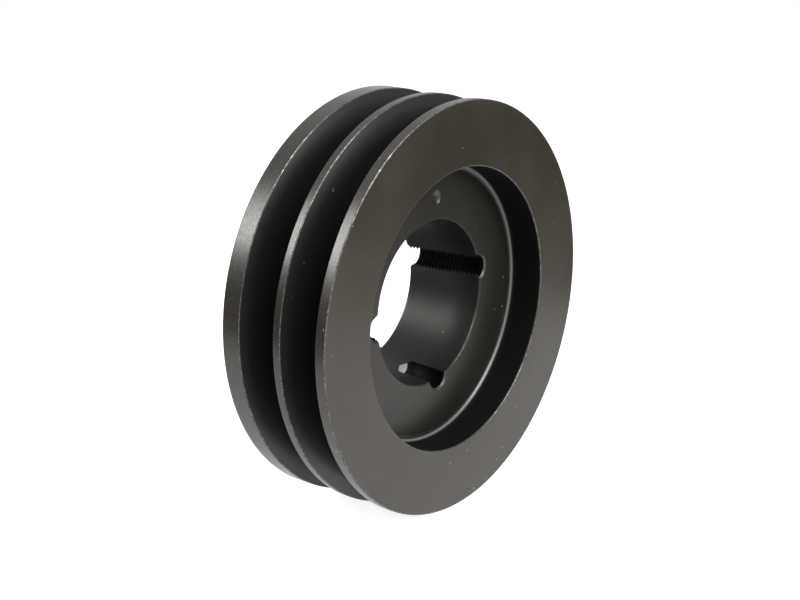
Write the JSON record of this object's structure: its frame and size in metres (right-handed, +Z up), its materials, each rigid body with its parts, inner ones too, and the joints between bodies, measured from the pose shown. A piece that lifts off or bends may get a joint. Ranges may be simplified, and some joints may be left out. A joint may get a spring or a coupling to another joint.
{
  "type": "v belt pulley",
  "caption": "V-belt pulley with wedge grooves, a recessed face and a taper bore; its loose split bush with screws and key stands close behind.",
  "frame": {"origin": "the pulley's centre, on its axis and halfway across its face width", "axes": "the pulley turns about Y; its recessed front, where the bush goes in, faces -Y; +Z is up, with the pulley upright on its rim"},
  "size_m": [0.2096, 0.149, 0.2096],
  "materials": {
    "pulley_iron": "turned and phosphated, satin, near black",
    "bush_iron": "ground and phosphated, satin, near black",
    "screw_steel": "black oxide",
    "key_steel": "bright drawn"
  },
  "bodies": {
    "pulley": {"pulley": "pulley_iron"},
    "bush": {"taper_bush": "bush_iron"},
    "screw_1": {"clamp_screw_1": "screw_steel"},
    "screw_2": {"clamp_screw_2": "screw_steel"},
    "key": {"shaft_key": "key_steel"}
  },
  "joints": [
    {"name": "bush_draw", "type": "slide", "parent": "pulley", "child": "bush", "axis": [0, 0, 1], "range_m": [0, 0.044]},
    {"name": "screw_1_out", "type": "slide", "parent": "bush", "child": "screw_1", "axis": [0, 0, 1], "range_m": [0, 0.025]},
    {"name": "screw_2_out", "type": "slide", "parent": "bush", "child": "screw_2", "axis": [0, 0, 1], "range_m": [0, 0.025]},
    {"name": "key_out", "type": "slide", "parent": "bush", "child": "key", "axis": [0, 0, 1], "range_m": [0, 0.04]}
  ]
}
